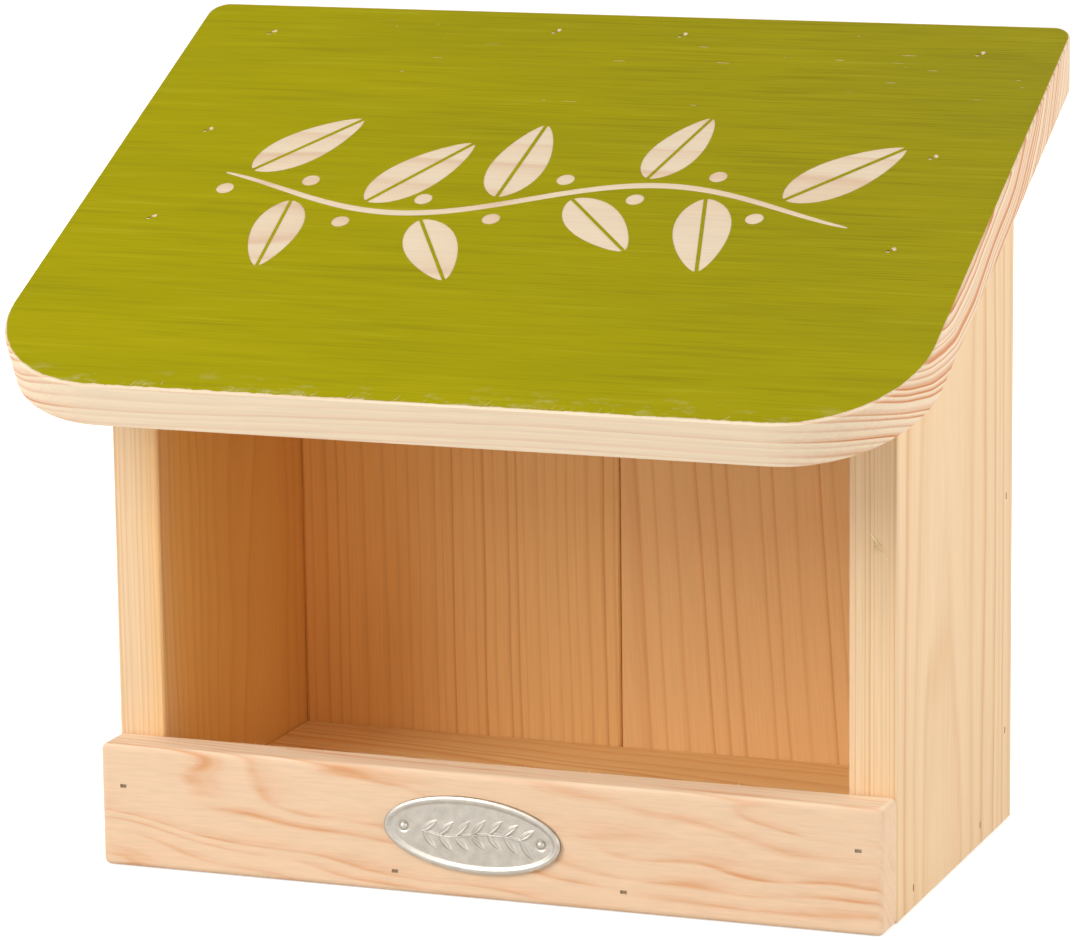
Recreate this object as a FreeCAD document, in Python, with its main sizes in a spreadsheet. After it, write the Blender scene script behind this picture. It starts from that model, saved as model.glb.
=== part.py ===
import FreeCAD, Part
import math
import os
import Sketcher

# Wall bird table: seven planed softwood boards, butt-jointed and nailed, with a small oval metal plate.
# X runs to the right, Y towards the wall and Z up. The origin is the middle of the whole part at its base.

V = FreeCAD.Vector

SIZES = {
    # carcass, all from one board thickness
    "board": 15,
    "outer_width": 250,
    "side_depth": 125,
    "side_rear_height": 234,
    "floor_raise": 1.5,
    "seam": 0.4,
    "arris": 0.5,
    # roof
    "roof_slope": 26,
    "roof_width": 287,
    "roof_length": 208,
    "roof_front_radius": 40,
    "roof_rear_radius": 6,
    # front board
    "front_height": 38.5,
    "front_edge_radius": 2,
    # hanging keyholes in the rear faces of the back boards
    "keyhole_entry": 13,
    "keyhole_slot": 8,
    "keyhole_neck": 4.5,
    "keyhole_lip": 3.5,
    "keyhole_depth": 8,
    "keyhole_travel": 14,
    "keyhole_drop": 54,
    # nails
    "nail_length": 30,
    "nail_shank": 1.25,
    "nail_thickness": 1.05,
    "nail_head": 2,
    "nail_head_height": 1,
    "nail_point": 2.5,
    "nail_sink": 0.4,
    "nail_clearance": 0.05,
    # nail places: distances from the wall, the base, the middle or the end of a board
    "roof_nail_rear": 15,
    "roof_nail_middle": 66,
    "roof_nail_front": 15.5,
    "roof_back_nail_depth": 10,
    "roof_back_nail_left": 22,
    "roof_back_nail_right": 20,
    "back_nail_low": 30,
    "back_nail_high": 105,
    "floor_nail_up": 5,
    "floor_nail_rear": 20.5,
    "floor_nail_front": 16.5,
    "front_side_nail_height": 25.5,
    "front_floor_nail_left": 28,
    "front_floor_nail_right": 45,
    "back_floor_nail": 40,
    # oval plate
    "plate_width": 56.5,
    "plate_height": 23.2,
    "plate_thickness": 1.6,
    "plate_recess": 0.6,
    "plate_rim": 2,
    "plate_rim_chamfer": 0.5,
    "plate_offset": 2.7,
    "plate_centre_height": 20,
    "plate_tilt": 3,
    # pins of the plate
    "pin_spacing": 44,
    "pin_head": 2.8,
    "pin_dome": 0.9,
    "pin_shank": 1.3,
    "pin_length": 12,
    "pin_point": 2,
    "pin_dimple": 3.7,
    "pin_dimple_depth": 0.3,
}

doc = FreeCAD.newDocument("wall_bird_table")
sheet = doc.addObject("Spreadsheet::Sheet", "sizes")
for row, (name, value) in enumerate(SIZES.items(), start=1):
    sheet.set(f"A{row}", name)
    sheet.set(f"B{row}", str(value))
    sheet.setAlias(f"B{row}", name)
doc.recompute()

# Places that several pieces share, as expressions on the sheet
SIN = "sin(sizes.roof_slope * 1 deg)"
COS = "cos(sizes.roof_slope * 1 deg)"
TAN = "tan(sizes.roof_slope * 1 deg)"
WALL = f"((sizes.roof_length * {COS} - sizes.arris * {SIN}) / 2)"
FRONT_FACE = f"({WALL} - sizes.side_depth - sizes.board)"
SIDE_CENTRE = "(sizes.outer_width / 2 - sizes.board / 2)"
INNER_HALF = "(sizes.outer_width / 2 - sizes.board)"
FLOOR_DEPTH = "(sizes.side_depth - sizes.board)"
FLOOR_NAIL_Z = "(sizes.floor_raise + sizes.floor_nail_up)"
BACK_WIDTH = f"({INNER_HALF} - sizes.seam / 2)"
KEYHOLE_Z = "(sizes.side_rear_height - sizes.keyhole_drop)"


def number(expression):
    value = sheet.evalExpression(expression)
    return float(getattr(value, "Value", value))


def roof_top(depth):
    """Height of the roof's upper face at a distance from the wall."""
    return f"(sizes.side_rear_height + sizes.board / {COS} - ({depth}) * {TAN})"


def place(thing, x="0", y="0", z="0", axis=None, angle="0"):
    if axis is not None:
        thing.Placement = FreeCAD.Placement(V(), FreeCAD.Rotation(axis, number(angle)))
        thing.setExpression("Placement.Rotation.Angle", f"({angle}) * 1 deg")
    for letter, expression in zip("xyz", (x, y, z)):
        thing.setExpression(f"Placement.Base.{letter}", expression)


def new_sketch(body, plane, name, offset=None):
    sketch = body.newObject("Sketcher::SketchObject", name)
    support = next(item for item in body.Origin.OriginFeatures if item.Role == plane)
    sketch.AttachmentSupport = [(support, "")]
    sketch.MapMode = "FlatFace"
    if offset:
        sketch.setExpression("AttachmentOffset.Base.z", offset)
    return sketch


def drive(sketch, kind, *places_and_expression):
    """Adds a measured constraint to a sketch and ties it to the sheet."""
    *places, expression = places_and_expression
    index = sketch.addConstraint(Sketcher.Constraint(kind, *places, number(expression)))
    sketch.setExpression(f"Constraints[{index}]", expression)


def pin_point(sketch, geometry, end, x, y):
    """Holds one point of a sketch at x, y from the sketch's own origin."""
    drive(sketch, "DistanceX", -1, 1, geometry, end, x)
    drive(sketch, "DistanceY", -1, 1, geometry, end, y)


def polygon(sketch, corners):
    """Closed outline of straight lines through corners, each a pair of expressions."""
    points = [V(number(x), number(y), 0) for x, y in corners]
    count = len(points)
    for i in range(count):
        sketch.addGeometry(Part.LineSegment(points[i], points[(i + 1) % count]), False)
    for i in range(count):
        sketch.addConstraint(Sketcher.Constraint("Coincident", i, 2, (i + 1) % count, 1))
    for i, (x, y) in enumerate(corners):
        pin_point(sketch, i, 1, x, y)


def circle(sketch, x, y, diameter):
    centre = V(number(x), number(y), 0)
    index = sketch.addGeometry(Part.Circle(centre, V(0, 0, 1), number(diameter) / 2), False)
    pin_point(sketch, index, 3, x, y)
    drive(sketch, "Diameter", index, diameter)


def ellipse(sketch, width, height):
    """Ellipse about the sketch's origin, its long axis along the sketch's x."""
    shape = Part.Ellipse(V(), number(width) / 2, number(height) / 2)
    index = sketch.addGeometry(shape, False)
    sketch.exposeInternalGeometry(index)
    sketch.addConstraint(Sketcher.Constraint("Coincident", index, 3, -1, 1))
    sketch.addConstraint(Sketcher.Constraint("Horizontal", index + 1))
    drive(sketch, "Distance", index + 1, width)
    drive(sketch, "Distance", index + 2, height)


def round_ended_slot(sketch, x, start, end, width):
    """Upright slot from start up to a half-round end centred at end."""
    left, right = f"{x} - {width} / 2", f"{x} + {width} / 2"
    corners = [(right, end), (left, end), (left, start), (right, start)]
    a, b, c, d = (V(number(u), number(v), 0) for u, v in corners)
    crown = V(number(x), number(end) + number(width) / 2, 0)
    sketch.addGeometry(Part.Arc(a, crown, b), False)
    for first, last in ((b, c), (c, d), (d, a)):
        sketch.addGeometry(Part.LineSegment(first, last), False)
    for i in range(4):
        sketch.addConstraint(Sketcher.Constraint("Coincident", i, 2, (i + 1) % 4, 1))
    for i, (u, v) in enumerate(corners):
        pin_point(sketch, i, 1, u, v)
    drive(sketch, "DistanceY", -1, 1, 0, 3, end)


def pad(body, sketch, length, symmetric=False):
    feature = body.newObject("PartDesign::Pad", f"{body.Name}_pad")
    feature.Profile = sketch
    feature.setExpression("Length", length)
    if symmetric:
        feature.SideType = "Symmetric"
    doc.recompute()
    return feature


def pocket(body, sketch, depth):
    """Pocket that has to take material away: turned round if it pointed out of the solid."""
    before = body.Shape.Volume
    feature = body.newObject("PartDesign::Pocket", f"{sketch.Name}_pocket")
    feature.Profile = sketch
    feature.setExpression("Length", depth)
    doc.recompute()
    if feature.Shape.isNull() or feature.Shape.Volume > before - 1e-6:
        feature.Reversed = True
        doc.recompute()
    return feature


def dress_edges(kind, size, body, feature, expression, chosen):
    """Fillet or chamfer on the edges whose middle passes the test, or on every edge without one."""
    dressed = body.newObject(f"PartDesign::{kind}", f"{body.Name}_{kind.lower()}")
    names = []
    for i, edge in enumerate(feature.Shape.Edges, start=1):
        middle = edge.valueAt((edge.FirstParameter + edge.LastParameter) / 2)
        if chosen and chosen(middle):
            names.append(f"Edge{i}")
    dressed.Base = (feature, names)
    dressed.UseAllEdges = chosen is None
    dressed.setExpression(size, expression)
    doc.recompute()
    return dressed


def fillet(body, feature, radius, chosen=None):
    return dress_edges("Fillet", "Radius", body, feature, radius, chosen)


def chamfer(body, feature, width, chosen=None):
    return dress_edges("Chamfer", "Size", body, feature, width, chosen)


def revolve(body, sketch):
    feature = body.newObject("PartDesign::Revolution", f"{body.Name}_turned")
    feature.Profile = sketch
    feature.ReferenceAxis = (sketch, ["V_Axis"])
    feature.Angle = 360
    doc.recompute()
    return feature


def near(value, expression):
    return abs(value - number(expression)) < 1e-4


def below_roof(point):
    """True off the sloping upper end of a wall, which stays sharp to close against the roof."""
    return not near(point.z - point.y * number(TAN), "sizes.side_rear_height")


# Boards before they are nailed

def side_blank(name, x):
    """Side wall: its upper end follows the roof's underside."""
    body = doc.addObject("PartDesign::Body", name)
    sketch = new_sketch(body, "YZ_Plane", f"{name}_profile")
    front_height = f"sizes.side_rear_height - sizes.side_depth * {TAN}"
    polygon(sketch, [
        ("0", "0"),
        ("-sizes.side_depth", "0"),
        ("-sizes.side_depth", front_height),
        ("0", "sizes.side_rear_height"),
    ])
    chamfer(body, pad(body, sketch, "sizes.board"), "sizes.arris", below_roof)
    place(body, x, WALL)
    return body


def back_blank(name, x):
    """Half of the back, with a keyhole routed into its rear face that hangs on a screw in the wall."""
    body = doc.addObject("PartDesign::Body", name)
    profile = new_sketch(body, "YZ_Plane", f"{name}_profile")
    polygon(profile, [
        ("0", "0"),
        ("-sizes.board", "0"),
        ("-sizes.board", f"sizes.side_rear_height - sizes.board * {TAN}"),
        ("0", "sizes.side_rear_height"),
    ])
    chamfer(body, pad(body, profile, BACK_WIDTH), "sizes.arris", below_roof)
    middle = f"{BACK_WIDTH} / 2"
    top = f"{KEYHOLE_Z} + sizes.keyhole_travel"
    entry = new_sketch(body, "XZ_Plane", f"{name}_entry")
    circle(entry, middle, KEYHOLE_Z, "sizes.keyhole_entry")
    pocket(body, entry, "sizes.keyhole_depth")
    neck = new_sketch(body, "XZ_Plane", f"{name}_neck")
    round_ended_slot(neck, middle, KEYHOLE_Z, top, "sizes.keyhole_neck")
    pocket(body, neck, "sizes.keyhole_depth")
    undercut = new_sketch(body, "XZ_Plane", f"{name}_undercut", "sizes.keyhole_lip")
    round_ended_slot(undercut, middle, KEYHOLE_Z, top, "sizes.keyhole_slot")
    pocket(body, undercut, "sizes.keyhole_depth - sizes.keyhole_lip")
    place(body, x, WALL)
    return body


def floor_blank(name):
    body = doc.addObject("PartDesign::Body", name)
    sketch = new_sketch(body, "YZ_Plane", f"{name}_profile")
    polygon(sketch, [
        ("0", "0"),
        (f"-{FLOOR_DEPTH}", "0"),
        (f"-{FLOOR_DEPTH}", "sizes.board"),
        ("0", "sizes.board"),
    ])
    chamfer(body, pad(body, sketch, f"2 * {INNER_HALF}", symmetric=True), "sizes.arris")
    place(body, "0", f"{WALL} - sizes.board", "sizes.floor_raise")
    return body


def front_blank(name):
    """Retaining board with every edge rounded, in front of the sides and the floor."""
    body = doc.addObject("PartDesign::Body", name)
    sketch = new_sketch(body, "YZ_Plane", f"{name}_profile")
    polygon(sketch, [
        ("0", "0"),
        ("-sizes.board", "0"),
        ("-sizes.board", "sizes.front_height"),
        ("0", "sizes.front_height"),
    ])
    fillet(body, pad(body, sketch, "sizes.outer_width", symmetric=True), "sizes.front_edge_radius")
    place(body, "0", f"{WALL} - sizes.side_depth")
    return body


def roof_blank(name):
    """Sloping board: rear end cut plumb for the wall, front end square, all four corners rounded."""
    body = doc.addObject("PartDesign::Body", name)
    sketch = new_sketch(body, "YZ_Plane", f"{name}_profile")
    rise = f"sizes.board / {COS}"
    reach, fall = f"sizes.roof_length * {COS}", f"sizes.roof_length * {SIN}"
    polygon(sketch, [
        ("0", "0"),
        ("0", rise),
        (f"-{reach}", f"{rise} - {fall}"),
        (f"sizes.board * {SIN} - {reach}", f"{rise} - {fall} - sizes.board * {COS}"),
    ])
    slab = pad(body, sketch, "sizes.roof_width", symmetric=True)

    def at_end(point):
        return near(abs(point.x), "sizes.roof_width / 2")

    front = fillet(body, slab, "sizes.roof_front_radius",
                   lambda p: at_end(p) and p.y < -number("sizes.side_depth"))
    rear = fillet(body, front, "sizes.roof_rear_radius", lambda p: at_end(p) and near(p.y, "0"))

    def on_broad_face(point):
        height = point.z + abs(point.y) * number(TAN)
        return near(height, "0") or near(height, rise)

    chamfer(body, rear, "sizes.arris", on_broad_face)
    place(body, "0", WALL, "sizes.side_rear_height")
    return body


# Nails and pins: one pattern of each, and the slightly larger hole that takes it

def nail_pattern(name, clearance, lead):
    """Brad of flat wire with a T head: its top at the origin, pointing down, or its hole with a lead above."""
    body = doc.addObject("PartDesign::Body", name)
    sketch = new_sketch(body, "XZ_Plane", f"{name}_profile")
    head = f"sizes.nail_head / 2 + {clearance}"
    shank = f"sizes.nail_shank / 2 + {clearance}"
    right = [
        (head, lead),
        (head, "-sizes.nail_head_height"),
        (shank, "-sizes.nail_head_height"),
        (shank, "sizes.nail_point - sizes.nail_length"),
    ]
    left = [(f"-({x})", y) for x, y in reversed(right)]
    polygon(sketch, right + [("0", f"-sizes.nail_length - {clearance}")] + left)
    pad(body, sketch, f"sizes.nail_thickness + 2 * {clearance}", symmetric=True)
    return body


def pin_shank(name, clearance):
    """Shank of a plate pin, from the underside of its head down to its point."""
    body = doc.addObject("PartDesign::Body", name)
    sketch = new_sketch(body, "XZ_Plane", f"{name}_profile")
    radius = f"sizes.pin_shank / 2 + {clearance}"
    polygon(sketch, [
        ("0", "0"),
        (radius, "0"),
        (radius, "sizes.pin_point - sizes.pin_length"),
        ("0", f"-sizes.pin_length - {clearance}"),
    ])
    revolve(body, sketch)
    return body


def pin_pattern(name):
    """Round-headed pin: a low dome on a pointed shank."""
    body = pin_shank(name, "0")
    sketch = new_sketch(body, "XZ_Plane", f"{name}_dome")
    half, dome = number("sizes.pin_head / 2"), number("sizes.pin_dome")
    radius = (half ** 2 + dome ** 2) / (2 * dome)
    ball = Part.Circle(V(0, dome - radius, 0), V(0, 0, 1), radius)
    sketch.addGeometry(Part.ArcOfCircle(ball, math.acos(half / radius), math.pi / 2), False)
    sketch.addGeometry(Part.LineSegment(V(0, dome, 0), V()), False)
    sketch.addGeometry(Part.LineSegment(V(), V(half, 0, 0)), False)
    for i in range(3):
        sketch.addConstraint(Sketcher.Constraint("Coincident", i, 2, (i + 1) % 3, 1))
    pin_point(sketch, 0, 1, "sizes.pin_head / 2", "0")
    pin_point(sketch, 1, 1, "0", "sizes.pin_dome")
    pin_point(sketch, 2, 1, "0", "0")
    sketch.addConstraint(Sketcher.Constraint("PointOnObject", 0, 3, -2))
    revolve(body, sketch)
    return body


def copies(name, pattern, places, axis=None, angle="0"):
    """Group of separate copies of one fastener, each at its own place."""
    links = []
    for i, (x, y, z) in enumerate(places, start=1):
        link = doc.addObject("App::Link", f"{name}_{i}")
        link.LinkedObject = pattern
        place(link, x, y, z, axis, angle)
        links.append(link)
    group = doc.addObject("Part::Compound", name)
    group.Links = links
    return group


nail = nail_pattern("nail", "0", "0")
nail_hole = nail_pattern("nail_hole", "sizes.nail_clearance", "2 * sizes.nail_head")
pin = pin_pattern("plate_pin")
pin_hole = pin_shank("plate_pin_hole", "sizes.nail_clearance")

# Nail rows: the way they are driven, and their heads' places
SUNK_X = "(sizes.outer_width / 2 - sizes.nail_sink)"
SIDE_DEPTHS = ("sizes.roof_nail_rear", "sizes.roof_nail_middle", "sizes.side_depth - sizes.roof_nail_front")
BACK_Y = f"{WALL} - sizes.board / 2"
FLOOR_YS = (
    f"{WALL} - sizes.board - sizes.floor_nail_rear",
    f"{WALL} - sizes.side_depth + sizes.floor_nail_front",
)


def roof_nail(x, depth):
    return (x, f"{WALL} - ({depth})", f"{roof_top(depth)} - sizes.nail_sink")


def side_rows(side, sign, angle):
    """Rows through one side: down from the roof, into the back board and into the floor."""
    return {
        f"roof_{side}_nails": (None, "0", [roof_nail(f"{sign}{SIDE_CENTRE}", depth) for depth in SIDE_DEPTHS]),
        f"{side}_back_nails": (V(0, 1, 0), angle, [
            (f"{sign}{SUNK_X}", BACK_Y, height) for height in ("sizes.back_nail_low", "sizes.back_nail_high")]),
        f"{side}_floor_nails": (V(0, 1, 0), angle, [(f"{sign}{SUNK_X}", y, FLOOR_NAIL_Z) for y in FLOOR_YS]),
    }


FRONT_Y = f"{FRONT_FACE} + sizes.nail_sink"
REAR_Y = f"{WALL} - sizes.nail_sink"
ROWS = {
    **side_rows("left", "-", "-90"),
    **side_rows("right", "", "90"),
    "roof_back_nails": (None, "0", [
        roof_nail("-sizes.roof_back_nail_left", "sizes.roof_back_nail_depth"),
        roof_nail("sizes.roof_back_nail_right", "sizes.roof_back_nail_depth"),
    ]),
    "front_side_nails": (V(1, 0, 0), "90", [
        (f"{sign}{SIDE_CENTRE}", FRONT_Y, "sizes.front_side_nail_height") for sign in ("-", "")]),
    "front_floor_nails": (V(1, 0, 0), "90", [
        ("-sizes.front_floor_nail_left", FRONT_Y, FLOOR_NAIL_Z),
        ("sizes.front_floor_nail_right", FRONT_Y, FLOOR_NAIL_Z),
    ]),
    "back_floor_nails": (V(1, 0, 0), "-90", [
        (f"{sign}sizes.back_floor_nail", REAR_Y, FLOOR_NAIL_Z) for sign in ("-", "")]),
}
nodes = []
holes = {}
for row_name, (axis, angle, places) in ROWS.items():
    nodes.append(copies(row_name, nail, places, axis, angle))
    holes[row_name] = copies(f"{row_name}_holes", nail_hole, places, axis, angle)

# Oval plate with a raised rim, pinned a little askew to the front board

PLATE_X = "-sizes.plate_offset"
plate = doc.addObject("PartDesign::Body", "oval_plate")
outline = new_sketch(plate, "XZ_Plane", "plate_outline")
ellipse(outline, "sizes.plate_width", "sizes.plate_height")
pad(plate, outline, "sizes.plate_thickness")
field = new_sketch(plate, "XZ_Plane", "plate_field", "sizes.plate_thickness")
ellipse(field, "sizes.plate_width - 2 * sizes.plate_rim", "sizes.plate_height - 2 * sizes.plate_rim")
sunk_field = pocket(plate, field, "sizes.plate_recess")
chamfer(plate, sunk_field, "sizes.plate_rim_chamfer", lambda p: near(abs(p.y), "sizes.plate_thickness"))
FIELD_LEVEL = "sizes.plate_thickness - sizes.plate_recess"
dimples = new_sketch(plate, "XZ_Plane", "plate_dimples", FIELD_LEVEL)
pin_bores = new_sketch(plate, "XZ_Plane", "plate_pin_bores", FIELD_LEVEL)
for sign in ("-", ""):
    circle(dimples, f"{sign}sizes.pin_spacing / 2", "0", "sizes.pin_dimple")
    circle(pin_bores, f"{sign}sizes.pin_spacing / 2", "0", "sizes.pin_shank + 2 * sizes.nail_clearance")
pocket(plate, dimples, "sizes.pin_dimple_depth")
pocket(plate, pin_bores, "sizes.plate_thickness")
place(plate, PLATE_X, FRONT_FACE, "sizes.plate_centre_height", V(0, 1, 0), "sizes.plate_tilt")
nodes.append(plate)

PIN_X = "sizes.pin_spacing / 2 * cos(sizes.plate_tilt * 1 deg)"
PIN_Z = "sizes.pin_spacing / 2 * sin(sizes.plate_tilt * 1 deg)"
PIN_SEAT = f"{FRONT_FACE} - ({FIELD_LEVEL} - sizes.pin_dimple_depth)"
pin_places = [
    (f"{PLATE_X} - {PIN_X}", PIN_SEAT, f"sizes.plate_centre_height + {PIN_Z}"),
    (f"{PLATE_X} + {PIN_X}", PIN_SEAT, f"sizes.plate_centre_height - {PIN_Z}"),
]
nodes.append(copies("plate_pins", pin, pin_places, V(1, 0, 0), "90"))
holes["plate_pins"] = copies("plate_pins_holes", pin_hole, pin_places, V(1, 0, 0), "90")


def nailed(name, blank, rows):
    """The finished board: its blank with the holes of every fastener that goes through it or into it."""
    drilled = doc.addObject("Part::Compound", f"{name}_drilling")
    drilled.Links = [holes[row] for row in rows]
    board = doc.addObject("Part::Cut", name)
    board.Base = blank
    board.Tool = drilled
    nodes.append(board)


for side, x in (("left", "-sizes.outer_width / 2"), ("right", INNER_HALF)):
    rows = [f"roof_{side}_nails", f"{side}_back_nails", f"{side}_floor_nails", "front_side_nails"]
    nailed(f"side_{side}", side_blank(f"side_{side}_blank", x), rows)
for side, x in (("left", f"-{INNER_HALF}"), ("right", "sizes.seam / 2")):
    rows = ["roof_back_nails", f"{side}_back_nails", "back_floor_nails"]
    nailed(f"back_board_{side}", back_blank(f"back_{side}_blank", x), rows)
floor_rows = ["left_floor_nails", "right_floor_nails", "front_floor_nails", "back_floor_nails"]
nailed("floor_board", floor_blank("floor_blank"), floor_rows)
nailed("front_board", front_blank("front_blank"), ["front_side_nails", "front_floor_nails", "plate_pins"])
nailed("roof_board", roof_blank("roof_blank"), ["roof_left_nails", "roof_right_nails", "roof_back_nails"])
doc.recompute()

for item in doc.Objects:
    if "Invalid" in item.State or "Error" in item.State:
        raise RuntimeError(f"{item.Label} failed: {item.State}")
for node in nodes:
    if node.Shape.isNull() or not node.Shape.isValid():
        raise RuntimeError(f"{node.Label} has no valid shape")

os.makedirs("parts", exist_ok=True)
for node in nodes:
    node.Shape.exportStep(f"parts/{node.Label}.step")
    print(node.Label, len(node.Shape.Solids), "solids", round(node.Shape.Volume, 1), "mm3")
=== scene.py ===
# %% [markdown]
# # A wall bird table of nailed pine boards
# The solid model arrives ready made: every board, nail, pin and the oval plate is its own object, in metres,
# already in place. This lesson gives each of them its real surface and adds what a solid model leaves out:
# the paint on the roof with its stencilled vine, the torn wood fibres and the relief on the plate.

# %% Load the solid model
import math

import bpy
from mathutils import Matrix, Vector


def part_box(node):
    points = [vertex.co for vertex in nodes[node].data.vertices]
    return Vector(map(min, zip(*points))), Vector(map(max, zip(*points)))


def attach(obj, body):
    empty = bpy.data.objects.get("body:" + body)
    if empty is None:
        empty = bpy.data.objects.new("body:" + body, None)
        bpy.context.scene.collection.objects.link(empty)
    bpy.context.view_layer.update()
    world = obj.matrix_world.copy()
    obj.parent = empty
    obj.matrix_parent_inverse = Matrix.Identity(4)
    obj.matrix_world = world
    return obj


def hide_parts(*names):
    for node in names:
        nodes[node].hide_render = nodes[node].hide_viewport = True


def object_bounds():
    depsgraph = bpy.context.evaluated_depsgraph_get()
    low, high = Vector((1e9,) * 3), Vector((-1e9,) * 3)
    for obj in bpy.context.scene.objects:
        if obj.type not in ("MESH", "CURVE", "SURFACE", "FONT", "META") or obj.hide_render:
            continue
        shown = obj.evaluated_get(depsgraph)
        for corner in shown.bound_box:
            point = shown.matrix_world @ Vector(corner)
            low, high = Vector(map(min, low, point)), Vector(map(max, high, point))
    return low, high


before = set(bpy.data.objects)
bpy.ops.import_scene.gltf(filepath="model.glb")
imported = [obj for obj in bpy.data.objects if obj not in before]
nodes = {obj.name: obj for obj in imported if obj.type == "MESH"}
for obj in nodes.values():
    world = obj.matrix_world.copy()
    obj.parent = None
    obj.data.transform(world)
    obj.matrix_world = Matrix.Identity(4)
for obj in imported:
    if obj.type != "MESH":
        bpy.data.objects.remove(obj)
cad_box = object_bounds()
scene = bpy.context.scene
print("solid pieces:", len(nodes))

# %% [markdown]
# ## Small helpers
# A node tree is a list of nodes with values and wires. One function adds a node, sets its properties and
# fills its sockets, so each later cell reads like the recipe of a finish. Colours are written the way a paint
# shop writes them, as sRGB hex, and turned into the linear light that the renderer works with.
#
# A node that appears often is MapRange. It gets a value, the range in which that is read and the range that
# it becomes. Either range is 0 to 1 where it isn't given.

# %% Helpers for nodes and colours
FAMILIES = ("ShaderNode", "GeometryNode", "FunctionNode", "Node")


def add(tree, kind, sockets=(), **settings):
    """Adds one node, such as "Bump" or "Math.SINE", with its sockets in order or by name.

    A socket gets a value, a wire from another node or socket, or a list of wires.
    """
    kind, _, operation = kind.partition(".")
    made = tree.nodes.new(next(f + kind for f in FAMILIES if hasattr(bpy.types, f + kind)))
    if operation:
        made.operation = operation
    for name, value in settings.items():
        setattr(made, name, value)
    for key, value in sockets.items() if isinstance(sockets, dict) else enumerate(sockets):
        for item in value if isinstance(value, list) else [value]:
            if isinstance(item, bpy.types.Node):
                item = next(s for s in item.outputs if s.enabled)
            if isinstance(item, bpy.types.NodeSocket):
                tree.links.new(item, made.inputs[key])
            else:
                made.inputs[key].default_value = item
    return made


def srgb(code):
    """'#RRGGBB' as linear red, green, blue and full alpha."""
    parts = [int(code[i:i + 2], 16) / 255 for i in (1, 3, 5)]
    return tuple(c / 12.92 if c <= 0.04045 else ((c + 0.055) / 1.055) ** 2.4 for c in parts) + (1.0,)


def new_material(name):
    """A new material, its node tree and the sockets of its surface."""
    material = bpy.data.materials.new(name)
    material.use_nodes = True
    return material, material.node_tree, material.node_tree.nodes["Principled BSDF"].inputs


MM = 0.001
print("mid grey #808080 is", round(srgb("#808080")[0], 3), "in linear light")

# %% [markdown]
# ## The camera
# The photograph was taken with a long lens from a little right of the front and slightly above. Straight
# board edges in the picture fix the camera: turn, height, a slight roll, focal length and distance. The
# camera's three axes are built from those angles and written straight into its matrix.

# %% Camera at the photograph's place
TURN, RISE, ROLL = (math.radians(a) for a in (20.676, 11.444, -0.695))
AIM = Vector((-9.02, 30.86, 115.66)) * MM
DISTANCE = 1.5496  # metres
FOCAL_LENGTH, SENSOR_WIDTH = 166.84, 36.0  # mm
look = Vector((-math.sin(TURN) * math.cos(RISE), math.cos(TURN) * math.cos(RISE), -math.sin(RISE)))
right = Vector((math.cos(TURN), math.sin(TURN), 0))
up = right.cross(look)
tilted_right = math.cos(ROLL) * right + math.sin(ROLL) * up
tilted_up = math.cos(ROLL) * up - math.sin(ROLL) * right

lens = bpy.data.cameras.new("camera")
lens.sensor_fit, lens.sensor_width, lens.lens = "HORIZONTAL", SENSOR_WIDTH, FOCAL_LENGTH
lens.clip_start = 0.05
camera = bpy.data.objects.new("camera", lens)
scene.collection.objects.link(camera)
axes = Matrix((tilted_right, tilted_up, -look)).transposed().to_4x4()
camera.matrix_world = Matrix.Translation(AIM - DISTANCE * look) @ axes
scene.camera = camera
print("camera at", [round(v, 3) for v in camera.matrix_world.translation])

# %% [markdown]
# ## Planed pine
# A board is a slice of a log, so its lines on the face, the edge and the end belong together. The material
# works the same way: it measures the distance from the log's heart in three dimensions and draws a growth
# ring every few millimetres. A picture wrapped round the board would break at every edge.
#
# The distance comes first. Rings wander, slowly over the length of the board and a little at every few
# centimetres, and a knot pushes them aside.

# %% How far a point lies from the log's heart
SLOW, QUICK = (300, 60, 60), (60, 18, 18)  # mm from swing to swing, along, across and through the board
FULL_SWING = 4  # noise moves by about a quarter, so this brings it to one


def heart_distance(tree, board, heart, seed, sway, knot):
    """The distance from the log's heart at each point of the board, in mm."""
    out = add(tree, "VectorMath.SUBTRACT", [board, (0, *heart)])
    for reach, swing, shift in ((SLOW, sway[0], 0), (QUICK, sway[1], 7)):
        swing *= FULL_SWING
        shift = (seed + shift, seed, seed - shift)
        spot = add(tree, "VectorMath.MULTIPLY_ADD", [board, tuple(1 / mm for mm in reach), shift])
        drift = add(tree, "TexNoise", {"Vector": spot, "Scale": 1.0, "Detail": 1.0})
        drift = add(tree, "VectorMath.SUBTRACT", [drift.outputs["Color"], (0.5, 0.5, 0.5)])
        out = add(tree, "VectorMath.MULTIPLY_ADD", [drift, (0, swing, swing), out])
    across = add(tree, "VectorMath.MULTIPLY", [out, (0, 1, 1)])
    radius = add(tree, "VectorMath.LENGTH", [across]).outputs["Value"]
    if knot:
        place, (along, beside), push = knot
        away = add(tree, "VectorMath.SUBTRACT", [board, place])
        away = add(tree, "VectorMath.MULTIPLY", [away, (1 / along, 1 / beside, 1 / beside)])
        near = add(tree, "VectorMath.DOT_PRODUCT", [away, away]).outputs["Value"]
        near = add(tree, "Math.POWER", [math.exp(-1), near])
        radius = add(tree, "Math.MULTIPLY_ADD", [near, push, radius])
    return radius


print("rings wander over", SLOW[0], "mm and over", QUICK[0], "mm along a board")

# %% [markdown]
# Pale spring wood darkens through the year to a thin line of summer wood and ends sharply at the winter. Good
# and poor years follow each other: the count of rings runs a little ahead or behind, and strong rings come in
# spells.

# %% Each year's ring
LUCK_PER_YEAR, AHEAD = 0.45, 1.4  # how often growth speeds up or slows down, and by how many years
SPELLS_PER_YEAR = 0.13


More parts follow.
